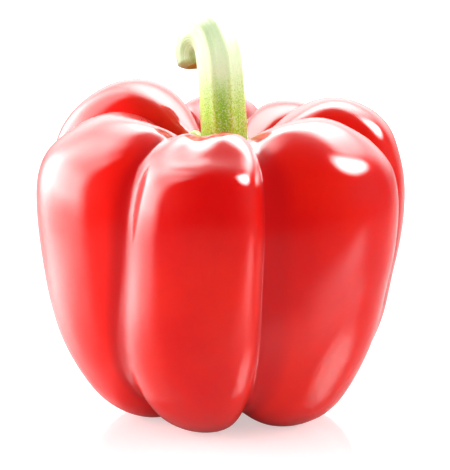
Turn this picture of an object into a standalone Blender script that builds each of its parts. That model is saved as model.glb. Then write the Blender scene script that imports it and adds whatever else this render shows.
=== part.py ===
"""A bell pepper: a seven-lobed fruit, and its hooked stem with the calyx grown on it.

Metres, +Z up. The origin is on the ground under the middle of the fruit, and -Y is the front.
A lobe's place round the fruit is its azimuth: degrees from the front, towards +X.
"""
import bmesh
import bpy
import numpy as np

MM = 0.001

# Fruit body: a rounded hull round a centre, in polar form. The polar angle is 0 at the crown.
CENTRE = (0.2 * MM, 0.4 * MM, 44.0 * MM)
BODY_RADIUS = 47.0 * MM
CROWN_RISE = 39.0 * MM
FOOT_DROP = 46.0 * MM
SQUARENESS = 3.0                    # 2 is an ellipse, more fills the shoulders and the foot
SHOULDER_SPREAD = 0.11              # share by which the crown is wider than the middle
HOLLOW_DEPTH, HOLLOW_ANGLE = 18.0 * MM, 27.0
NAVEL_DEPTH, NAVEL_ANGLE = 8.0 * MM, 16.0

# One row per lobe, going round towards +X: azimuth of the crease where it starts, at the crown and
# at the foot, then how far its crest stands off the hull at the shoulder, belly, waist and foot,
# and its lean: 1 has the crest in the middle, more moves it towards the lobe's far side.
LOBES = [
    (-31, -68, (-5.0, 0.0, 0.5, 0.5), 1.3),
    (14, 12, (-2.5, -0.5, -2.0, 1.0), 1.55),
    (77, 86, (0.5, -1.5, -2.5, 0.5), 1.0),
    (124, 130, (-3.0, -1.0, -1.5, 0.5), 1.0),
    (160, 168, (-2.0, -1.0, -1.0, 0.5), 1.0),
    (204, 206, (4.0, 5.0, 1.0, 0.5), 1.0),
    (252, 270, (-3.0, -1.0, -1.0, 0.5), 0.72),
]
CREST_ANGLES = (35, 78, 115, 152)   # polar angles of the shoulder, belly, waist and foot

# What changes from crown to foot: (polar angle, value)
CREASE_DEPTH = [(0, 0), (14, 3.5), (34, 8.5), (60, 6.5), (90, 6), (120, 5.5), (150, 6), (167, 3), (180, 0)]
LOBE_ROUNDNESS = [(0, 1.8), (35, 0.75), (75, 1.0), (120, 1.1), (150, 0.8), (180, 1.8)]
CREASE_SOFTNESS = [(0, 0.1), (35, 0.06), (75, 0.16), (120, 0.22), (150, 0.12), (180, 0.1)]
STATION_SPREAD = 16.0               # degrees over which one station's value fades into the next
POLE_CALM = 0.12                    # sine of the polar angle within which the lobes die away

# A shallow groove that divides the front lobe's shoulder
GROOVE_DEPTH = 1.6 * MM
GROOVE_AZIMUTH, GROOVE_WIDTH = -11.0, 7.0
GROOVE_ANGLE, GROOVE_LENGTH = 34.0, 14.0

COLUMNS_PER_LOBE = 10
CROWN_ANGLE = 40.0                  # the crown, down to here, has finer rows than the sides
CROWN_ROWS = 10
SIDE_ROWS = 28

# Calyx: a scalloped disc that lies in the hollow, a gap above the skin and in from its slope
CALYX_GAP = 0.4 * MM
CALYX_INSET = 0.3 * MM
CALYX_ANGLE = 20.0                  # polar angle of its mean edge
CALYX_SCALLOP = 1.2
CALYX_THICKNESS = 1.3 * MM
CALYX_EDGE = 0.6 * MM
CALYX_ROWS = (7.0, 11.0, 14.5, 17.5)

# Stalk: leans back as it rises, then curls over in a hook whose rounded end nearly meets it
STALK_BASE = (0.5 * MM, 0.4 * MM, 69.0 * MM)
STALK_ROOT = 3.0 * MM               # straight height before the first arc
STALK_RADIUS = 5.75 * MM
STALK_FLARE, FLARE_HEIGHT = 1.3 * MM, 1.6 * MM
# Arcs of its path: bend radius, degrees turned and the number of rings along it
STALK_ARCS = [(25.0 * MM, 6.0, 1), (400.0 * MM, 2.0, 5), (14.0 * MM, 22.0, 3), (4.9 * MM, 172.0, 14)]
HOOK_AZIMUTH = 213.0                # back and to the left
UPWARD = np.array([0.0, 0.0, 1.0])
TOWARDS = np.array([np.sin(np.radians(HOOK_AZIMUTH)), -np.cos(np.radians(HOOK_AZIMUTH)), 0.0])
INNER_GAP = 0.3 * MM                # how near the inside of the hook comes to the middle of its bend
TIGHT_BENDS = (0.3, 0.9)            # bend, in radians, over which that limit sets in
END_RADIUS = 5.2 * MM
END_BULGE = 2.0 * MM
TAPER_START = 0.35
RIDGES = [(-23, 0.22), (20, 0.22), (68, 0.25), (125, 0.22), (180, 0.25), (236, 0.22), (295, 0.25)]
RIDGE_WIDTH = 16.0


def blend(angle, stations):
    """Smooth curve through values given at a few angles: each station fades into the next."""
    total = weight_sum = 0.0
    for place, value in stations:
        weight = np.exp(-((angle - place) / STATION_SPREAD) ** 2) + 1e-9
        total = total + weight * value
        weight_sum = weight_sum + weight
    return total / weight_sum


def smooth_step(value, low, high):
    share = np.clip((value - low) / (high - low), 0.0, 1.0)
    return share * share * (3.0 - 2.0 * share)


def hull_radius(angle):
    """Distance from the centre to the hull, with the hollow at the crown and the navel below."""
    polar = np.radians(angle)
    reach = np.where(angle < 90.0, CROWN_RISE, FOOT_DROP)
    radius = (np.abs(np.sin(polar) / BODY_RADIUS) ** SQUARENESS
              + np.abs(np.cos(polar) / reach) ** SQUARENESS) ** (-1.0 / SQUARENESS)
    radius = radius - HOLLOW_DEPTH * np.exp(-(angle / HOLLOW_ANGLE) ** 4)
    return radius - NAVEL_DEPTH * np.exp(-((180.0 - angle) / NAVEL_ANGLE) ** 2)


def lobe_columns():
    """Places round the fruit: whole numbers are the creases, fractions the columns between them."""
    return np.arange(len(LOBES) * COLUMNS_PER_LOBE) / COLUMNS_PER_LOBE


def skin_points(column, angle):
    """Points on the skin for places round the fruit and polar angles in degrees."""
    roundness = blend(angle, LOBE_ROUNDNESS)
    softness = blend(angle, CREASE_SOFTNESS)
    veer = (angle / 180.0) ** 3      # the creases turn aside mostly near the foot
    azimuth = LOBES[0][0] + (LOBES[0][1] - LOBES[0][0]) * veer + 0.0 * column
    fill = crest = 0.0
    for number, (top, foot, proud, lean) in enumerate(LOBES):
        last = number == len(LOBES) - 1
        next_top, next_foot = LOBES[(number + 1) % len(LOBES)][:2]
        width_top = next_top - top + (360 if last else 0)
        width_foot = next_foot - foot + (360 if last else 0)
        share = (1.0 - np.cos(np.pi * np.clip(column - number, 0.0, 1.0))) / 2.0
        azimuth = azimuth + (width_top + (width_foot - width_top) * veer) * share
        swung = share ** lean
        arch = 4.0 * swung * (1.0 - swung)
        arch = (np.sqrt(arch ** 2 + softness ** 2) - softness) / (np.sqrt(1 + softness ** 2) - softness)
        lobe = arch * (1.0 + roundness) / (arch + roundness)
        profile = [(0, 0.0), *zip(CREST_ANGLES, proud), (180, 0.0)]
        fill = fill + lobe
        crest = crest + lobe * blend(angle, profile) * MM
    groove = GROOVE_DEPTH * np.exp(-((azimuth - GROOVE_AZIMUTH) / GROOVE_WIDTH) ** 2)
    groove = groove * np.exp(-((angle - GROOVE_ANGLE) / GROOVE_LENGTH) ** 2)
    relief = crest - blend(angle, CREASE_DEPTH) * MM * (1.0 - fill) - groove
    sine = np.sin(np.radians(angle))
    radius = hull_radius(angle) + relief * (1.0 - np.exp(-(sine / POLE_CALM) ** 2))
    height = radius * np.cos(np.radians(angle))
    reach = radius * sine * (1.0 + SHOULDER_SPREAD * height / CROWN_RISE)
    turn = np.radians(azimuth)
    return np.stack([
        CENTRE[0] + reach * np.sin(turn),
        CENTRE[1] - reach * np.cos(turn),
        np.maximum(CENTRE[2] + height, 0.0),     # the feet of the lobes are flat on the ground
    ], axis=-1)


def skin_row(angle):
    return skin_points(lobe_columns(), angle + 0.0 * lobe_columns())


def pole(row):
    """The one point that closes a row of points."""
    return np.mean(row, axis=0)


def closed_mesh(name, first, rows, last):
    """A closed skin over rows of points, with one end point below the first row and one past the last."""
    shape = bmesh.new()
    rings = [[shape.verts.new(point) for point in row] for row in rows]
    for lower, upper in zip(rings, rings[1:]):
        for i in range(len(lower)):
            j = (i + 1) % len(lower)
            shape.faces.new((lower[i], lower[j], upper[j], upper[i]))
    for ring, point in ((rings[0], first), (rings[-1], last)):
        tip = shape.verts.new(point)
        for i in range(len(ring)):
            shape.faces.new((ring[i], ring[(i + 1) % len(ring)], tip))
    bmesh.ops.triangulate(shape, faces=shape.faces[:])
    bmesh.ops.recalc_face_normals(shape, faces=shape.faces[:])
    mesh = bpy.data.meshes.new(name)
    shape.to_mesh(mesh)
    shape.free()
    mesh.shade_smooth()
    return mesh


def make_fruit():
    crown = np.linspace(0.0, CROWN_ANGLE, CROWN_ROWS + 1)[1:]
    sides = np.linspace(CROWN_ANGLE, 180.0, SIDE_ROWS + 1)[1:-1]
    rows = [skin_row(angle) for angle in (*crown, *sides)]
    return closed_mesh("fruit", pole(skin_row(0.0)), rows, pole(skin_row(180.0)))


def drawn_in(row):
    """The row with each point moved level towards the axis of the hollow."""
    level = (row - pole(row)) * [1.0, 1.0, 0.0]
    return row - CALYX_INSET * level / np.linalg.norm(level, axis=1, keepdims=True)


def calyx_rows():
    """The disc's underside from its middle to its edge, then its upper face back to the stalk."""
    column = lobe_columns()
    edge = CALYX_ANGLE + CALYX_SCALLOP * np.cos(2.0 * np.pi * column)
    under = [skin_points(column, angle * edge / CALYX_ANGLE) for angle in (*CALYX_ROWS, CALYX_ANGLE)]
    under = [drawn_in(row) + [0.0, 0.0, CALYX_GAP] for row in under]
    rim = under[-1] + [0.0, 0.0, CALYX_EDGE]
    upper = [row + [0.0, 0.0, CALYX_THICKNESS] for row in under[-2:-4:-1]]
    return under + [rim] + upper


def stalk_path():
    """Centre, bend angle and share of the way for each ring, from the calyx to the hook's end."""
    length = sum(radius * np.radians(turn) for radius, turn, _ in STALK_ARCS)
    centre = np.array(STALK_BASE) + STALK_ROOT * UPWARD
    yield centre - STALK_ROOT / 2.0 * UPWARD, 0.0, 0.0
    yield centre, 0.0, 0.0
    before = gone = 0.0
    for radius, turn, rings in STALK_ARCS:
        for _ in range(rings):
            bend = before + np.radians(turn / rings)
            centre = centre + radius * ((np.cos(before) - np.cos(bend)) * TOWARDS
                                        + (np.sin(bend) - np.sin(before)) * UPWARD)
            gone += radius * (bend - before)
            before = bend
            yield centre, bend, gone / length


def stalk_ring(centre, bend, radius, around):
    """A ring square to the path, whose inner side stops short of the middle of a tight bend."""
    along = around @ TOWARDS
    level = around - along[:, None] * TOWARDS
    tilted = np.cos(bend) * TOWARDS - np.sin(bend) * UPWARD
    loose = 2.0 * STALK_RADIUS
    limit = loose + (STALK_ARCS[-1][0] - INNER_GAP - loose) * smooth_step(bend, *TIGHT_BENDS)
    across = np.minimum(radius * along, limit)
    return centre + radius[:, None] * level + across[:, None] * tilted


def stalk_rings():
    column = lobe_columns()
    outline = skin_points(column, CALYX_ANGLE + 0.0 * column) - np.array(CENTRE)
    azimuth = np.degrees(np.arctan2(outline[:, 0], -outline[:, 1]))
    ridge = sum(height * MM * np.exp(-(((azimuth - place + 180.0) % 360.0 - 180.0) / RIDGE_WIDTH) ** 2)
                for place, height in RIDGES)
    ridge = ridge - np.mean(ridge)
    around = np.stack([np.sin(np.radians(azimuth)), -np.cos(np.radians(azimuth)), 0.0 * azimuth], axis=-1)
    rings = []
    for centre, bend, share in stalk_path():
        flare = STALK_FLARE * np.exp(-(centre[2] - STALK_BASE[2]) / FLARE_HEIGHT) * (share < 0.5)
        taper = (STALK_RADIUS - END_RADIUS) * smooth_step(share, TAPER_START, 1.0)
        rings.append(stalk_ring(centre, bend, STALK_RADIUS - taper + flare + ridge, around))
    forward = np.cos(bend) * UPWARD + np.sin(bend) * TOWARDS
    for dome in np.radians((35.0, 65.0)):
        tip = centre + END_BULGE * np.sin(dome) * forward
        rings.append(stalk_ring(tip, bend, (END_RADIUS + ridge) * np.cos(dome), around))
    return rings


def make_stem():
    rows = calyx_rows() + stalk_rings()
    middle = pole(rows[0])
    middle[2] = rows[0][:, 2].max()      # clear of the crests that meet under the disc
    return closed_mesh("stem", middle, rows, pole(rows[-1]))


def make_material(name, colour, roughness, coat):
    material = bpy.data.materials.new(name)
    material.use_nodes = True
    shader = material.node_tree.nodes["Principled BSDF"]
    shader.inputs["Base Color"].default_value = (*colour, 1.0)
    shader.inputs["Roughness"].default_value = roughness
    shader.inputs["Metallic"].default_value = 0.0
    shader.inputs["Coat Weight"].default_value = coat
    return material


def place(name, mesh, material):
    mesh.materials.append(material)
    piece = bpy.data.objects.new(name, mesh)
    bpy.context.collection.objects.link(piece)


def main():
    for leftover in list(bpy.data.objects):
        bpy.data.objects.remove(leftover)
    place("fruit", make_fruit(), make_material("waxy_skin", (0.72, 0.012, 0.006), 0.22, 0.6))
    place("stem", make_stem(), make_material("stem_green", (0.46, 0.58, 0.13), 0.5, 0.0))


main()
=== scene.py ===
import math

import bpy
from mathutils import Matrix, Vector


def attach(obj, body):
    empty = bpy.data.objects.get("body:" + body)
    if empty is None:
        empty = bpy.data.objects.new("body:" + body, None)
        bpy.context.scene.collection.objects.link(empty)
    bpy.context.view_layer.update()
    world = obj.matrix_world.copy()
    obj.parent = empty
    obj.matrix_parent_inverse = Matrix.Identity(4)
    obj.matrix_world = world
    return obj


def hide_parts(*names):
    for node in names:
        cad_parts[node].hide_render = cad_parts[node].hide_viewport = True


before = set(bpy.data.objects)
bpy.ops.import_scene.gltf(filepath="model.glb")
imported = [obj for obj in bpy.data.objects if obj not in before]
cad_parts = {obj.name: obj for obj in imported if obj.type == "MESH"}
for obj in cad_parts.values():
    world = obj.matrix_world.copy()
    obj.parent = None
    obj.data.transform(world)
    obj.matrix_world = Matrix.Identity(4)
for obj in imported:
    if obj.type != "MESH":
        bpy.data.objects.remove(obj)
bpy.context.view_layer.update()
print("frame loaded:", sorted(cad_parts))

mm = 0.001
sealed = 0.0005 * mm                      # points closer than this become one
toRadians = math.pi / 180.0
black = (0.0, 0.0, 0.0, 1.0)
white = (1.0, 1.0, 1.0, 1.0)


# one output of a node: arithmetic on it adds Math nodes to its tree
class Wire:
    def __init__(self, tree, socket=None):
        self.tree = tree
        self.socket = socket

    # any node: its settings are set first, then the values or links of its sockets
    def make(self, kind, settings=None, values=None, output=0):
        node = self.tree.nodes.new(kind)
        for name, value in (settings or {}).items():
            setattr(node, name, value)
        for key, value in (values or {}).items():
            if isinstance(value, Wire):
                self.tree.links.new(value.socket, node.inputs[key])
            else:
                node.inputs[key].default_value = value
        return Wire(self.tree, node.outputs[output])

    def math(self, operation, *values):
        return self.make("ShaderNodeMath", {"operation": operation}, dict(enumerate(values)))

    def __add__(self, other):
        return self.math("ADD", self, other)

    def __radd__(self, other):
        return self.math("ADD", other, self)

    def __sub__(self, other):
        return self.math("SUBTRACT", self, other)

    def __rsub__(self, other):
        return self.math("SUBTRACT", other, self)

    def __mul__(self, other):
        return self.math("MULTIPLY", self, other)

    def __rmul__(self, other):
        return self.math("MULTIPLY", other, self)

    def __truediv__(self, other):
        return self.math("DIVIDE", self, other)

    def __rtruediv__(self, other):
        return self.math("DIVIDE", other, self)

    def __pow__(self, other):
        return self.math("POWER", self, other)

    def __neg__(self):
        return self.math("MULTIPLY", self, -1.0)

    def __abs__(self):
        return self.math("ABSOLUTE", self)

    def __lt__(self, other):
        return self.math("LESS_THAN", self, other)

    def sin(self):
        return self.math("SINE", self)

    def cos(self):
        return self.math("COSINE", self)

    def exp(self):
        return self.math("EXPONENT", self)

    def sqrt(self):
        return self.math("SQRT", self)

    def least(self, other):
        return self.math("MINIMUM", self, other)

    def most(self, other):
        return self.math("MAXIMUM", self, other)

    def clip(self):
        return self.least(1.0).most(0.0)

    # 1 at the place, fading to 0 over the width on both sides
    def bump(self, place, width):
        off = (self - place) / width
        return (-(off * off)).exp()

    # smooth step from 0 to 1 between two values
    def rise(self, low, high):
        settings = {"interpolation_type": "SMOOTHSTEP"}
        return self.make("ShaderNodeMapRange", settings, {0: self, 1: low, 2: high})

    def vector(self, operation, *values, output=0):
        settings = {"operation": operation}
        return self.make("ShaderNodeVectorMath", settings, dict(enumerate(values)), output)

    # a vector with each of its parts scaled
    def times(self, factors):
        return self.vector("MULTIPLY", self, factors)

    def part(self, index):
        return self.make("ShaderNodeSeparateXYZ", values={0: self}, output=index)

    def join(self, x, y, z):
        return self.make("ShaderNodeCombineXYZ", values={0: x, 1: y, 2: z})

    def mix(self, factor, first, second):
        return self.make("ShaderNodeMix", {"data_type": "RGBA"}, {0: factor, 6: first, 7: second}, 2)

    # noise from 0 to 1 at a place; size is its feature size
    def noise(self, size, detail=2.0, rough=0.5):
        values = {"Vector": self, "Scale": 1.0 / size, "Detail": detail, "Roughness": rough}
        return self.make("ShaderNodeTexNoise", {"noise_dimensions": "3D"}, values)


# a new tree with one named input for each size; gives the tree and a wire for each input
def newTree(name, sizes):
    tree = bpy.data.node_groups.new(name, "GeometryNodeTree")
    tree.interface.new_socket("Geometry", in_out="OUTPUT", socket_type="NodeSocketGeometry")
    for label, value in sizes.items():
        kind = "NodeSocketObject" if isinstance(value, bpy.types.Object) else "NodeSocketFloat"
        tree.interface.new_socket(label, in_out="INPUT", socket_type=kind)
    source = tree.nodes.new("NodeGroupInput")
    return tree, {label: Wire(tree, source.outputs[label]) for label in sizes}


# keeps a value at each point, for the material or for a later step
def keep(geometry, name, value, kind="FLOAT"):
    settings = {"data_type": kind, "domain": "POINT"}
    values = {"Geometry": geometry, "Name": name, "Value": value}
    return geometry.make("GeometryNodeStoreNamedAttribute", settings, values)


# moves the points to a place given in millimetres, then closes the seam and the poles
def closeUp(geometry, place):
    values = {"Geometry": geometry, "Position": place.times((mm, mm, mm))}
    geometry = geometry.make("GeometryNodeSetPosition", values=values)
    return geometry.make("GeometryNodeMergeByDistance", values={"Geometry": geometry, "Distance": sealed})


# ends the tree: real geometry, smooth, with its material
def endTree(tree, geometry, material):
    geometry = geometry.make("GeometryNodeRealizeInstances", values={0: geometry})
    geometry = geometry.make("GeometryNodeSetShadeSmooth", values={"Geometry": geometry})
    geometry = geometry.make("GeometryNodeSetMaterial", values={"Geometry": geometry, "Material": material})
    sink = tree.nodes.new("NodeGroupOutput")
    tree.links.new(geometry.socket, sink.inputs[0])


# runs a tree on an empty mesh and gives the piece that it makes, as a plain mesh
def grow(name, tree, sizes, material):
    piece = bpy.data.objects.new(name, bpy.data.meshes.new(name))
    bpy.context.scene.collection.objects.link(piece)
    modifier = piece.modifiers.new("shape", "NODES")
    modifier.node_group = tree
    for item in tree.interface.items_tree:
        if item.in_out == "INPUT":
            modifier[item.identifier] = sizes[item.name]
    bpy.context.view_layer.update()
    made = bpy.data.meshes.new_from_object(piece.evaluated_get(bpy.context.evaluated_depsgraph_get()))
    piece.modifiers.clear()
    piece.data = made
    made.name = name
    if not made.materials:
        made.materials.append(material)
    print(name, "has", len(made.polygons), "faces")
    return piece


# the fruit: a rounded hull in polar form with seven lobes, whose rows are polar angles

fruit = {
    "sizes": {
        "Centre x": 0.2, "Centre y": 0.4, "Centre height": 44.0,      # mm
        "Body radius": 47.0, "Crown rise": 39.0, "Foot drop": 46.0,
        "Squareness": 3.0, "Shoulder spread": 0.11,
        "Hollow depth": 18.0, "Hollow angle": 27.0,
        "Navel depth": 8.0, "Navel angle": 16.0,
        "Groove depth": 1.6,
        "Swell height": 0.35, "Ripple height": 0.10,
    },
    # azimuth of the crease where each lobe starts, at crown and foot; crest height off the hull;
    # lean of the crest towards the lobe's far side
    "lobes": [
        (-31, -68, (-5.0, 0.0, 0.5, 0.5), 1.3),
        (14, 12, (-2.5, -0.5, -2.0, 1.0), 1.55),
        (77, 86, (0.5, -1.5, -2.5, 0.5), 1.0),
        (124, 130, (-3.0, -1.0, -1.5, 0.5), 1.0),
        (160, 168, (-2.0, -1.0, -1.0, 0.5), 1.0),
        (204, 206, (4.0, 5.0, 1.0, 0.5), 1.0),
        (252, 270, (-3.0, -1.0, -1.0, 0.5), 0.72),
    ],
    # polar angles of the stations, and what the skin does at each
    "crestAngles": (0, 35, 78, 115, 152, 180),
    "creaseAngles": (0, 14, 34, 60, 90, 120, 150, 167, 180),
    "creaseDepth": (0, 3.5, 8.5, 6.5, 6, 5.5, 6, 3, 0),
    "formAngles": (0, 35, 75, 120, 150, 180),
    "roundness": (1.8, 0.75, 1.0, 1.1, 0.8, 1.8),
    "softness": (0.1, 0.06, 0.16, 0.22, 0.12, 0.1),
    "stationSpread": 16.0,                   # degrees over which one station fades into the next
    "stationLeast": 1e-9,
    "poleCalm": 0.12,                        # sine of the angle within which the lobes die away
    "groove": (-11.0, 7.0, 34.0, 14.0),      # azimuth, width, polar angle, length
    "columnsPerLobe": 52,
    "rows": 240,
    "swellSize": 22.0, "rippleSize": 7.0,    # mm
    "swellStretch": (1.0, 1.0, 0.55),
    "feetHeight": 3.0,                       # mm, over which the swells set in
}


def stationWeights(angle, places):
    weights = [angle.bump(place, fruit["stationSpread"]) + fruit["stationLeast"] for place in places]
    total = sum(weights[1:], weights[0])
    return [weight / total for weight in weights]


def blend(weights, values):
    terms = [weight * value for weight, value in zip(weights, values) if value]
    return sum(terms[1:], terms[0])


# the skin's place for a column (whole numbers are creases) and a polar angle in degrees
def skinRule(column, angle, size):
    crests = stationWeights(angle, fruit["crestAngles"])
    creases = stationWeights(angle, fruit["creaseAngles"])
    forms = stationWeights(angle, fruit["formAngles"])
    roundness = blend(forms, fruit["roundness"])
    softness = blend(forms, fruit["softness"])
    softSquare = softness * softness
    topArch = (softSquare + 1.0).sqrt() - softness
    fall = angle / 180.0
    lobes = fruit["lobes"]
    veer = fall * fall * fall
    azimuth = lobes[0][0] + (lobes[0][1] - lobes[0][0]) * veer
    fill = crest = None
    for number, (top, foot, proud, lean) in enumerate(lobes):
        turn = 360 if number == len(lobes) - 1 else 0
        nextTop, nextFoot = lobes[(number + 1) % len(lobes)][:2]
        topWidth, footWidth = nextTop - top + turn, nextFoot - foot + turn
        share = (1.0 - ((column - number).clip() * math.pi).cos()) * 0.5
        azimuth = azimuth + (topWidth + (footWidth - topWidth) * veer) * share
        swung = share ** lean
        arch = 4.0 * swung * (1.0 - swung)
        lobe = ((arch * arch + softSquare).sqrt() - softness) / topArch
        lobe = lobe * (roundness + 1.0) / (lobe + roundness)
        height = lobe * blend(crests, (0, *proud, 0))
        fill = lobe if fill is None else fill + lobe
        crest = height if crest is None else crest + height

    grooveAzimuth, grooveWidth, grooveAngle, grooveLength = fruit["groove"]
    groove = azimuth.bump(grooveAzimuth, grooveWidth) * angle.bump(grooveAngle, grooveLength)
    relief = crest - blend(creases, fruit["creaseDepth"]) * (1.0 - fill) - groove * size["Groove depth"]
    polar = angle * toRadians
    sine, cosine = polar.sin(), polar.cos()
    relief = relief * (1.0 - sine.bump(0.0, fruit["poleCalm"]))       # calm at the two poles

    above = angle < 90.0
    reach = size["Foot drop"] + (size["Crown rise"] - size["Foot drop"]) * above
    hull = abs(sine / size["Body radius"]) ** size["Squareness"]
    hull = hull + abs(cosine / reach) ** size["Squareness"]
    hull = hull ** (-1.0 / size["Squareness"])
    hollow = angle / size["Hollow angle"]
    hollow = hollow * hollow
    hull = hull - size["Hollow depth"] * (-(hollow * hollow)).exp()
    hull = hull - size["Navel depth"] * angle.bump(180.0, size["Navel angle"])
    radius = hull + relief
    height = radius * cosine
    out = radius * sine * (1.0 + size["Shoulder spread"] * height / size["Crown rise"])
    around = azimuth * toRadians
    x = size["Centre x"] + out * around.sin()
    y = size["Centre y"] - out * around.cos()
    z = (size["Centre height"] + height).most(0.0)
    return column.join(x, y, z), fill


def makeFruit(material):
    lobeCount = len(fruit["lobes"])
    tree, size = newTree("fruitShape", fruit["sizes"])
    start = Wire(tree)
    grid = start.make("GeometryNodeMeshGrid", values={
        "Size X": float(lobeCount), "Size Y": 180.0,
        "Vertices X": lobeCount * fruit["columnsPerLobe"] + 1, "Vertices Y": fruit["rows"] + 1})
    place = start.make("GeometryNodeInputPosition")
    column = place.part(0) + lobeCount / 2
    angle = 90.0 - place.part(1)
    skin, fill = skinRule(column, angle, size)
    shape = keep(grid, "crest", fill)
    shape = keep(shape, "fall", angle / 180.0)
    shape = closeUp(shape, skin)

    # slow swells and finer ripples, none where the feet are flat
    place = start.make("GeometryNodeInputPosition")
    long = place.times(fruit["swellStretch"])
    swell = long.noise(fruit["swellSize"] * mm, 1.0) - 0.5
    ripple = long.noise(fruit["rippleSize"] * mm, 1.0) - 0.5
    lift = swell * size["Swell height"] * 2.0 + ripple * size["Ripple height"] * 2.0
    lift = lift * place.part(2).rise(0.0, fruit["feetHeight"] * mm) * mm
    normal = start.make("GeometryNodeInputNormal")
    shape = start.make("GeometryNodeSetPosition", values={
        "Geometry": shape, "Offset": normal.times(normal.join(lift, lift, lift))})
    endTree(tree, shape, material)
    return grow("fruit_skin", tree, fruit["sizes"], material)


# the stem: a disc of calyx that lies on the skin, and a ribbed stalk that turns over in a hook
stem = {
    "sizes": {
        "Base x": 0.5, "Base y": 0.4, "Base height": 69.6,       # mm
        "Calyx radius": 11.0, "Calyx thickness": 1.3, "Calyx edge": 0.5,
        "Tooth length": 1.3,
        "Stalk radius": 5.75, "End radius": 5.2, "Fillet": 2.4,
        "Ridge height": 0.30, "Fibre height": 0.07,
        "End bulge": 2.0, "Scar depth": 0.5,
    },
    "hookAzimuth": 213.0,
    "arcs": [(25.0, 6.0), (400.0, 2.0), (14.0, 22.0), (4.9, 172.0)],     # bend radius and degrees
    "innerGap": 0.3,                       # how near the inside of the hook comes to its middle
    # azimuth, height and width of each ridge
    "ridges": [(-60, 0.8, 15), (-22, 1.0, 10), (20, 1.0, 10), (66, 1.1, 14), (118, 0.9, 16),
               (172, 1.1, 16), (230, 1.0, 16), (272, 0.6, 12)],
    # azimuth, greenness and width of the faces between them; the pale faces at -41 and 44 are painted
    # sheen, for the left light and the lamp reflecting on them
    "faces": [(-41, 0.1, 14), (0, 1.0, 17), (44, 0.2, 17), (92, 0.8, 18), (145, 0.35, 18),
              (200, 0.9, 20), (250, 0.5, 18)],
    "teeth": 7,
    "columns": 280,
    "rows": {"under": 12, "top": 14, "fillet": 16, "stalk": 230, "end": 26},
    "fibreScale": 6.0,                     # the fibres' own coordinates: across the stalk,
    "filletLength": 8.0, "endLength": 4.0,       # and along its foot and its end
    # feature size, detail, roughness and stretch along the stalk
    "strand": (0.9, 2.0, 0.6, 0.06),
    "lump": (5.0, 1.0, 0.5, 0.35),
    "lumpHeight": 0.5,
    "toothWander": 3.0, "toothEdges": (-0.2, 1.0), "toothShare": 0.7, "toothVariation": 1.5,
    "taperEdges": (0.35, 1.0),
    "ribMiddle": 0.45,                     # mean height of the ribs, taken off again
    "veinShare": 0.25,
    "scarEdges": (0.5, 0.75),
    "looseReach": 20.0,                    # mm, more than any part of the stalk's own radius
    "tightEdges": (0.3, 0.9),              # bend, in radians, over which the inner limit sets in
    "lift": 0.05,                          # mm between the disc and the skin
    "drapeSteps": 40,
    "drapeFrom": 100.0,                    # mm, height above the fruit from which it is felt
    "drapeReach": 60.0,
    "discDrop": 4.5,                       # mm below the stalk's base where the disc starts
}


# noise that is drawn out along the stalk
def stretchedNoise(place, size, detail, rough, stretch):
    return place.times((1.0, 1.0, stretch)).noise(size, detail, rough)


# the sum over the ridges or faces: each is a bump at its azimuth
def aroundStalk(start, azimuth, rows):
    total = None
    for middle, high, width in rows:
        off = start.math("WRAP", azimuth - middle, 180.0, -180.0)
        one = off.bump(0.0, width) * high
        total = one if total is None else total + one
    return total


def arcsLength():
    return sum(radius * math.radians(degrees) for radius, degrees in stem["arcs"])


# bend angle in radians, and how far the path has gone sideways and up, at a length along it
def stalkPath(length):
    before, bent = 0.0, 0.0
    bend = aside = up = None
    for radius, degrees in stem["arcs"]:
        reach = radius * math.radians(degrees)
        turn = ((length - before).most(0.0).least(reach)) / radius
        angle = turn + bent
        stepAside = (math.cos(bent) - angle.cos()) * radius
        stepUp = (angle.sin() - math.sin(bent)) * radius
        bend = turn if bend is None else bend + turn
        aside = stepAside if aside is None else aside + stepAside
        up = stepUp if up is None else up + stepUp
        before += reach
        bent += math.radians(degrees)
    return bend, aside, up


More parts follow.
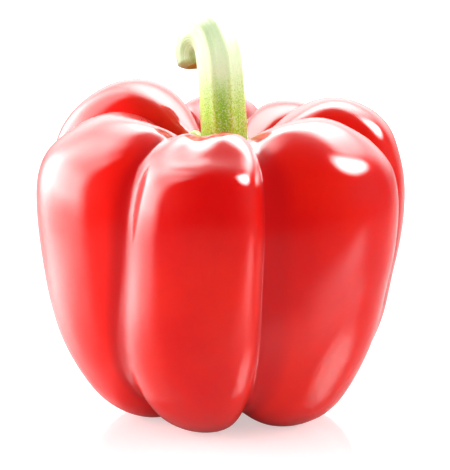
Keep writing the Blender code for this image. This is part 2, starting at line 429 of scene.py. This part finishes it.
def makeStem(material, fruitPiece):
    sizes = {**stem["sizes"], "Fruit": fruitPiece}
    tree, size = newTree("stemShape", sizes)
    start = Wire(tree)
    rows = stem["rows"]
    rowCount = sum(rows.values())
    grid = start.make("GeometryNodeMeshGrid", values={
        "Size X": 360.0, "Size Y": float(rowCount),
        "Vertices X": stem["columns"] + 1, "Vertices Y": rowCount + 1})
    place = start.make("GeometryNodeInputPosition")
    azimuth = place.part(0) + 180.0
    row = place.part(1) + rowCount / 2
    share = {}
    first = 0
    for label, count in rows.items():
        share[label] = ((row - first) / count).clip()
        first += count

    # ribs of the stalk, which run out over the calyx into its teeth
    rib = aroundStalk(start, azimuth, stem["ridges"])
    face = aroundStalk(start, azimuth, stem["faces"])
    turn = azimuth * toRadians
    sine, cosine = turn.sin(), turn.cos()
    length = share["stalk"] * arcsLength()
    lengthwise = length - (1.0 - share["fillet"]) * stem["filletLength"] + share["end"] * stem["endLength"]
    fibre = start.join(sine * stem["fibreScale"], cosine * -stem["fibreScale"], lengthwise)
    strand = stretchedNoise(fibre, *stem["strand"]) - 0.5
    lump = stretchedNoise(fibre, *stem["lump"]) - 0.5

    toothWave = (turn * float(stem["teeth"]) + lump * stem["toothWander"]).cos()
    tooth = toothWave.rise(*stem["toothEdges"]) * (stem["toothShare"] + lump * stem["toothVariation"])
    edge = size["Calyx radius"] + size["Tooth length"] * tooth
    filletOuter = size["Stalk radius"] + size["Fillet"]
    filletTurn = share["fillet"] * (math.pi / 2)
    radius = edge * share["under"] - (edge - filletOuter) * share["top"] - size["Fillet"] * filletTurn.sin()
    taper = share["stalk"].rise(*stem["taperEdges"])
    radius = radius - (size["Stalk radius"] - size["End radius"]) * taper
    endTurn = share["end"]
    endAngle = endTurn * (math.pi / 2)
    radius = radius * endAngle.cos()

    onStalk = share["fillet"]
    ribHeight = (rib - stem["ribMiddle"]) * size["Ridge height"] + strand * 2.0 * size["Fibre height"]
    ribHeight = ribHeight + lump * stem["lumpHeight"]
    radius = radius + ribHeight * onStalk * (1.0 - endTurn)

    # the disc lies on the skin; from the fillet up the stalk follows its path
    discX = size["Base x"] + radius * sine
    discY = size["Base y"] - radius * cosine
    target = start.make("GeometryNodeObjectInfo", values={"Object": size["Fruit"]}, output=4)
    source = start.join(discX * mm, discY * mm, stem["drapeFrom"] * mm)
    ray = start.make("GeometryNodeRaycast", values={
        "Target Geometry": target, "Source Position": source,
        "Ray Direction": (0.0, 0.0, -1.0), "Ray Length": stem["drapeReach"] * mm}, output=1)
    skinHeight = ray.part(2) / mm
    flat = size["Base height"] - stem["discDrop"]
    thick = size["Calyx edge"] + (size["Calyx thickness"] - size["Calyx edge"]) * share["top"]
    vein = rib * stem["veinShare"] * share["top"]
    discHeight = flat + stem["lift"] + (thick + vein) * (share["top"] * 4.0).clip()

    bend, aside, up = stalkPath(length)
    hookTurn = math.radians(stem["hookAzimuth"])
    towards = (math.sin(hookTurn), -math.cos(hookTurn), 0.0)
    along = sine * towards[0] - cosine * towards[1]
    levelX = sine - along * towards[0]
    levelY = -cosine - along * towards[1]
    bendSine, bendCosine = bend.sin(), bend.cos()
    # the end bulges, with a shallow scar in its middle
    bulge = size["End bulge"] * endAngle.sin() - size["Scar depth"] * endTurn.rise(*stem["scarEdges"])
    # the inside of the bend stops short of its middle
    tight = stem["arcs"][-1][0] - stem["innerGap"]
    limit = stem["looseReach"] + (tight - stem["looseReach"]) * bend.rise(*stem["tightEdges"])
    across = (radius * along).least(limit)
    aside = aside + across * bendCosine + bulge * bendSine
    up = up - across * bendSine + bulge * bendCosine
    stalkX = size["Base x"] + radius * levelX + aside * towards[0]
    stalkY = size["Base y"] + radius * levelY + aside * towards[1]
    stalkZ = size["Base height"] + up + size["Fillet"] * (1.0 - filletTurn.cos())
    lying = 1.0 - onStalk.rise(0.0, 1.0)
    z = stalkZ + (discHeight - stalkZ) * lying
    x = discX + (stalkX - discX) * onStalk
    y = discY + (stalkY - discY) * onStalk

    shape = keep(grid, "fibre", fibre, "FLOAT_VECTOR")
    shape = keep(shape, "rib", rib)
    shape = keep(shape, "face", face)
    shape = keep(shape, "cut", endTurn)
    shape = keep(shape, "drape", skinHeight - flat)
    shape = keep(shape, "lying", lying)
    shape = closeUp(shape, start.join(x, y, z))

    # once the seam and the poles are closed, the disc drops onto the skin
    drape = start.make("GeometryNodeInputNamedAttribute", {"data_type": "FLOAT"}, {"Name": "drape"})
    soft = start.make("GeometryNodeBlurAttribute", {"data_type": "FLOAT"},
                      {0: drape, "Iterations": stem["drapeSteps"]})
    still = start.make("GeometryNodeInputNamedAttribute", {"data_type": "FLOAT"}, {"Name": "lying"})
    shape = start.make("GeometryNodeSetPosition", values={
        "Geometry": shape, "Offset": start.join(0.0, 0.0, soft * still * mm)})
    endTree(tree, shape, material)
    return grow("stem_and_calyx", tree, sizes, material)


# a new material: its principled shader's constants are set, and the function gives the wires that vary
def newMaterial(name, constants, look):
    material = bpy.data.materials.new(name)
    material.use_nodes = True
    tree = material.node_tree
    shader = tree.nodes["Principled BSDF"]
    for label, value in constants.items():
        shader.inputs[label].default_value = value
    for label, wire in look(Wire(tree)).items():
        tree.links.new(wire.socket, shader.inputs[label])
    return material


skin = {
    "deep": (0.66, 0.0012, 0.0012, 1.0),
    "bright": (0.78, 0.0090, 0.0014, 1.0),
    "crown": (0.84, 0.030, 0.004, 1.0),
    # painted shade: a darker red for down in the creases, where shade falls
    "crease": (0.58, 0.0015, 0.0022, 1.0),
    "leftRed": (0.98, 0.0075, 0.0030, 1.0),
    "leftRedEdge": (-30 * mm, -18 * mm),     # the lobe on the left is the brightest red
    "leftRedShare": 0.85,
    "blotch": {"size": 26 * mm, "edges": (0.3, 0.7), "share": 0.85},
    "mottle": {"size": 1.6 * mm, "edges": (0.3, 0.75), "share": 0.12},
    "crownFall": (0.10, 0.22), "crownShare": 0.8,
    "creaseShadeFill": (0.0, 0.3),
    "scar": (0.22, 0.10, 0.03, 1.0),
    "scarRadius": 1.6 * mm, "scarEdges": (0.8, 1.3),
    "scarWander": 0.8 * mm, "scarGrain": 1.0 * mm,
    "scarBelow": 20 * mm,                 # it is only in the navel, not in the crown
    "pits": {"size": 0.7 * mm, "height": 0.10},
    "wave": {"size": 3.5 * mm, "height": 1.0},
    "bump": {"Strength": 0.5, "Distance": 0.05 * mm},
    "roughness": 0.34, "mottleRoughness": 0.04, "scarRoughness": 0.5,
    "coat": 0.8,
    "constants": {
        "Subsurface Weight": 0.12, "Subsurface Radius": (1.0, 0.10, 0.05), "Subsurface Scale": 4.0 * mm,
        "IOR": 1.45, "Specular IOR Level": 0.08, "Coat Roughness": 0.05, "Coat IOR": 1.45,
    },
}


def skinLook(start):
    place = start.make("ShaderNodeTexCoord", output=3)
    crest = start.make("ShaderNodeAttribute", {"attribute_name": "crest"}, output=2)
    fall = start.make("ShaderNodeAttribute", {"attribute_name": "fall"}, output=2)
    blotch, mottle = skin["blotch"], skin["mottle"]
    blotches = place.noise(blotch["size"]).rise(*blotch["edges"])
    specks = place.noise(mottle["size"]).rise(*mottle["edges"])
    colour = start.mix(blotches * blotch["share"] + specks * mottle["share"], skin["deep"], skin["bright"])
    # a brighter red over the left side, beyond 18 to 30 mm left of the middle
    leftRed = 1.0 - place.part(0).rise(*skin["leftRedEdge"])
    colour = start.mix(leftRed * skin["leftRedShare"], colour, skin["leftRed"])
    colour = start.mix((1.0 - fall.rise(*skin["crownFall"])) * skin["crownShare"], colour, skin["crown"])
    # painted shade: the skin turns darker red in the creases, where the lobes' fill drops
    colour = start.mix(1.0 - crest.rise(*skin["creaseShadeFill"]), colour, skin["crease"])
    # corky scar where the flower was, in the navel
    flat = place.times((1.0, 1.0, 0.0))
    away = flat.vector("LENGTH", flat, output=1) + place.noise(skin["scarGrain"]) * skin["scarWander"]
    inner, outer = [skin["scarRadius"] * edge for edge in skin["scarEdges"]]
    scar = (1.0 - away.rise(inner, outer)) * (place.part(2) < skin["scarBelow"])
    colour = start.mix(scar, colour, skin["scar"])
    pits = place.noise(skin["pits"]["size"], 1.0)
    wave = place.noise(skin["wave"]["size"], 1.0)
    height = pits * skin["pits"]["height"] + wave * skin["wave"]["height"]
    bump = start.make("ShaderNodeBump", values={**skin["bump"], "Height": height})
    return {
        "Base Color": colour,
        "Roughness": skin["roughness"] + specks * skin["mottleRoughness"] + scar * skin["scarRoughness"],
        "Coat Weight": skin["coat"] * (1.0 - scar),
        "Normal": bump,
    }


stalk = {
    # painted light: the pale green of the upper stalk stands for the strong light that washes it out
    "pale": (0.79, 0.96, 0.57, 1.0),
    # partly painted shade: the hook's own olive, made darker for the shade on it
    "tip": (0.36, 0.46, 0.18, 1.0),
    "green": (0.22, 0.60, 0.001, 1.0),
    "soft": (0.52, 0.93, 0.09, 1.0),
    "cream": (0.86, 0.96, 0.70, 1.0),
    "ridge": (0.62, 0.80, 0.08, 1.0),
    "cut": (0.42, 0.34, 0.04, 1.0), "cutEdges": (0.5, 0.7),
    # feature size, detail, roughness and stretch along the stalk
    "strand": (0.5, 3.0, 0.65, 0.05), "strandEdges": (0.3, 0.7),
    "patch": (4.0, 2.0, 0.5, 0.4), "patchWander": 6.0,
    "speckSize": 0.4, "speckAndGlintEdges": (0.54, 0.62), "darkSpecks": (0.36, 0.44),
    # painted light: over these lengths the deep green of the foot turns into the lit pale
    "paleLightRise": (8.0, 20.0),              # mm along it where the deep green fades
    "tipStarts": (23.0, 31.0),
    "ribEdges": (0.6, 1.0),
    # how much of each colour shows, everywhere and then with its patch or near the foot
    "faceShare": (0.75, 0.5), "strandShare": 0.35, "strandFade": 0.9,
    "ridgeShare": (0.10, 0.35), "speckAndGlintShare": 0.55, "darkShare": (0.12, 0.6),
    "bump": {"Strength": 0.6, "Distance": 0.12 * mm},
    "strandHeight": 0.6, "speckHeight": 0.8,
    "roughness": 0.30, "strandRoughness": 0.12, "cutRoughness": 0.4,
    "constants": {
        "Subsurface Weight": 0.10, "Subsurface Radius": (0.8, 1.0, 0.3), "Subsurface Scale": 1.5 * mm,
        "IOR": 1.45, "Specular IOR Level": 0.5,
    },
}


def stalkLook(start):
    fibre = start.make("ShaderNodeAttribute", {"attribute_name": "fibre"}, output=1)
    rib = start.make("ShaderNodeAttribute", {"attribute_name": "rib"}, output=2)
    face = start.make("ShaderNodeAttribute", {"attribute_name": "face"}, output=2)
    end = start.make("ShaderNodeAttribute", {"attribute_name": "cut"}, output=2)
    strand = stretchedNoise(fibre, *stalk["strand"]).rise(*stalk["strandEdges"])
    patch = stretchedNoise(fibre, *stalk["patch"])
    speck = fibre.noise(stalk["speckSize"], 1.0)
    cut = end.rise(*stalk["cutEdges"])
    # the broad faces are deep green at the foot and pale higher up; the pale is painted light, for the
    # strong light on the upper stalk
    along = fibre.part(2) + patch * stalk["patchWander"]
    low = 1.0 - along.rise(*stalk["paleLightRise"])
    colour = start.mix(along.rise(*stalk["tipStarts"]), stalk["pale"], stalk["tip"])
    colour = start.mix(low, colour, stalk["soft"])
    share, patched = stalk["faceShare"]
    # green on the greener faces; the pale faces at -41 and 44 are painted sheen
    colour = start.mix(low * face * (share + patch * patched).clip(), colour, stalk["green"])
    stranded = strand * stalk["strandShare"] * (1.0 - low * stalk["strandFade"])
    colour = start.mix(stranded, colour, stalk["cream"])
    share, nearFoot = stalk["ridgeShare"]
    colour = start.mix(rib.rise(*stalk["ribEdges"]) * (share + low * nearFoot), colour, stalk["ridge"])
    # pale specks near the foot: the stalk's own flecks, and in part a painted glint for the lamp's speckled
    # highlight
    speckAndGlint = speck.rise(*stalk["speckAndGlintEdges"])
    colour = start.mix(speckAndGlint * low * stalk["speckAndGlintShare"], colour, stalk["cream"])
    darkSpeck = 1.0 - speck.rise(*stalk["darkSpecks"])
    share, nearFoot = stalk["darkShare"]
    colour = start.mix(darkSpeck * (share + low * nearFoot), colour, stalk["green"])
    colour = start.mix(cut, colour, stalk["cut"])
    height = strand * stalk["strandHeight"] + speck * stalk["speckHeight"]
    bump = start.make("ShaderNodeBump", values={**stalk["bump"], "Height": height})
    return {
        "Base Color": colour,
        "Roughness": stalk["roughness"] + strand * stalk["strandRoughness"] + cut * stalk["cutRoughness"],
        "Normal": bump,
    }


# the studio: reflections come from soft panels in the sky, shading from an even pale dome
studio = {
    # azimuth and elevation of each panel's middle, its half sizes, edge softness and brightness
    "panels": [
        (-112, 22, 34, 44, 12, 6.6),      # large one on the left, brightest in its lower half
        (-110, 8, 30, 20, 12, 5.0),
        (-140, 52, 24, 14, 12, 2.0),      # the corner above it
        (172, 26, 40, 20, 14, 2.8),       # pale wall behind
    ],
    # round one on the right: azimuth, elevation, radius, softness and brightness
    "lamp": (98, 47, 13, 8, 46.0),
    "dark": 0.03,
    # even light, more from above, and more from the sides, gathered there by a power
    "dome": {"even": 0.42, "above": 0.22, "left": 7.0, "right": 5.0, "gathered": 6.0},
    "floorBounce": 0.2,                   # how much brighter the floor lights the pepper
    "floorColour": (0.86, 0.86, 0.86, 1.0),
    "floorMirrored": (0.45, 0.45, 0.45, 1.0),
    "floorDark": (0.03, 0.03, 0.03, 1.0),
    "floorSize": 30.0,
    "floorHeight": -0.02 * mm,            # just under the feet
    "floorFade": (0.12, 0.55),            # distances between which its mirror image turns dark
    "floorLift": 0.50, "farLift": 0.4,    # how much whiter the camera sees it, near and far
    "floorTone": 0.4,                     # size of its faint changes in gloss
    "floorRoughness": 0.06, "toneRoughness": 0.03,
    "floorGlow": 4.0,                     # the emission of pure white, more than it ever needs
    # lit patches of the floor that reflections see: middle x and y, half sizes and brightness
    "pools": [(0.135, -0.060, 0.085, 0.028, 2.6), (-0.150, 0.030, 0.070, 0.070, 2.0)],
}


def panelGlow(azimuth, elevation, panel):
    middle, height, halfWidth, halfHeight, soft, bright = panel
    side = abs(azimuth.math("WRAP", azimuth - middle, 180.0, -180.0))
    above = abs(elevation - height)
    glow = 1.0 - side.rise(halfWidth - soft, halfWidth + soft)
    return glow * (1.0 - above.rise(halfHeight - soft, halfHeight + soft)) * bright


def makeWorld():
    world = bpy.data.worlds.new("studio")
    bpy.context.scene.world = world
    world.use_nodes = True
    world.cycles.sampling_method = "NONE"
    tree = world.node_tree
    start = Wire(tree)
    way = start.make("ShaderNodeTexCoord", output=0)
    x, y, z = way.part(0), way.part(1), way.part(2)
    toDegrees = 180.0 / math.pi
    azimuth = start.math("ARCTAN2", x, -y) * toDegrees
    elevation = start.math("ARCSINE", z) * toDegrees
    glow = studio["dark"]
    for panel in studio["panels"]:
        glow = panelGlow(azimuth, elevation, panel) + glow
    lampAzimuth, lampElevation, radius, soft, bright = studio["lamp"]
    aside = (azimuth - lampAzimuth) * math.cos(math.radians(lampElevation))
    above = elevation - lampElevation
    away = (aside * aside + above * above).sqrt()
    glow = glow + (1.0 - away.rise(radius - soft, radius + soft)) * bright
    shade = studio["dome"]
    left, right = (-x).most(0.0), x.most(0.0)
    dome = shade["even"] + z * shade["above"]
    dome = dome + left ** shade["gathered"] * shade["left"] + right ** shade["gathered"] * shade["right"]
    seen = start.make("ShaderNodeLightPath", output=0)
    glossy = start.make("ShaderNodeLightPath", output=3)
    light = dome + (glow - dome) * glossy
    light = light + (1.0 - light) * seen
    background = tree.nodes["Background"]
    tree.links.new(light.socket, background.inputs["Color"])


def makeFloor():
    size = studio["floorSize"] / 2
    mesh = bpy.data.meshes.new("floor")
    z = studio["floorHeight"]
    corners = [(-size, -size, z), (size, -size, z), (size, size, z), (-size, size, z)]
    mesh.from_pydata(corners, [], [(0, 1, 2, 3)])
    floor = bpy.data.objects.new("floor", mesh)
    bpy.context.scene.collection.objects.link(floor)

    def look(start):
        place = start.make("ShaderNodeTexCoord", output=3)
        seen = start.make("ShaderNodeLightPath", output=0)
        diffuse = start.make("ShaderNodeLightPath", output=2)
        glossy = start.make("ShaderNodeLightPath", output=3)
        far = place.vector("LENGTH", place, output=1).rise(*studio["floorFade"])
        mirrored = start.mix(far, studio["floorMirrored"], studio["floorDark"])
        pools = 0.0
        for x, y, length, width, bright in studio["pools"]:
            pools = place.part(0).bump(x, length) * place.part(1).bump(y, width) * bright + pools
        tone = place.noise(studio["floorTone"])
        lift = seen * (studio["floorLift"] + far * studio["farLift"])
        glow = lift + diffuse * studio["floorBounce"] + pools * glossy
        return {
            "Base Color": start.mix(glossy, studio["floorColour"], mirrored),
            "Roughness": studio["floorRoughness"] + tone * studio["toneRoughness"],
            "Emission Color": start.mix(glow / studio["floorGlow"], black, white),
        }

    constants = {"Emission Strength": studio["floorGlow"], "IOR": 1.6}
    mesh.materials.append(newMaterial("floor_white", constants, look))


# a softbox close above and behind, which only reflections see
softbox = {
    "low": (-0.12, -0.020, 0.150),
    "high": (0.13, 0.170, 0.150),
    "edgeCurve": 0.35,                    # how far its front edge comes forward at the sides
    "frontFade": (0.018, 0.050),          # where its front edge turns from clear to bright
    "backFade": (0.045, 0.13),
    "leftFade": (-0.085, 0.005),
    "rightFade": (0.04, 0.12),
    "bright": 16.0,
}


def makeSoftbox():
    (x0, y0, z), (x1, y1, _) = softbox["low"], softbox["high"]
    mesh = bpy.data.meshes.new("softbox")
    mesh.from_pydata([(x0, y0, z), (x0, y1, z), (x1, y1, z), (x1, y0, z)], [], [(0, 1, 2, 3)])
    box = bpy.data.objects.new("softbox", mesh)
    bpy.context.scene.collection.objects.link(box)

    def look(start):
        place = start.make("ShaderNodeTexCoord", output=3)
        x, y = place.part(0), place.part(1)
        glow = x.rise(*softbox["leftFade"]) * (1.0 - x.rise(*softbox["rightFade"]))
        bow = y + abs(x) * softbox["edgeCurve"]
        glow = glow * bow.rise(*softbox["frontFade"]) * (1.0 - y.rise(*softbox["backFade"]))
        return {"Alpha": glow}

    constants = {"Base Color": black, "Emission Color": white,
                 "Emission Strength": softbox["bright"], "Specular IOR Level": 0.0}
    mesh.materials.append(newMaterial("softbox_cloth", constants, look))
    box.visible_camera = False
    box.visible_diffuse = False
    box.visible_shadow = False
    box.visible_transmission = False


# camera: a long lens, a little above the pepper
view = {
    "aim": (0.7 * mm, 0.4 * mm, 46.0 * mm),
    "distance": 600 * mm,
    "elevation": 10.5,
    "frameHeight": 118.8 * mm,            # at the pepper
    "sensor": 36.0,
    "near": 0.01, "far": 100.0,
}


def makeCamera():
    camera = bpy.data.cameras.new("camera")
    camera.sensor_width = view["sensor"]
    camera.lens = view["sensor"] * view["distance"] / view["frameHeight"]
    camera.clip_start = view["near"]
    camera.clip_end = view["far"]
    holder = bpy.data.objects.new("camera", camera)
    bpy.context.scene.collection.objects.link(holder)
    tilt = math.radians(view["elevation"])
    back = Vector((0.0, -math.cos(tilt), math.sin(tilt)))
    holder.location = Vector(view["aim"]) + back * view["distance"]
    holder.rotation_euler = (math.pi / 2 - tilt, 0.0, 0.0)
    bpy.context.scene.camera = holder


makeCamera()
makeWorld()
makeFloor()
makeSoftbox()
bpy.context.scene.view_settings.view_transform = "Standard"
print("studio ready")

skinMaterial = newMaterial("pepper_skin", skin["constants"], skinLook)
stemMaterial = newMaterial("pepper_stem", stalk["constants"], stalkLook)
fruitPiece = makeFruit(skinMaterial)
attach(fruitPiece, "root")
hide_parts("fruit")
stemPiece = makeStem(stemMaterial, fruitPiece)
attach(stemPiece, "root")
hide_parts("stem")
print("pieces ready")
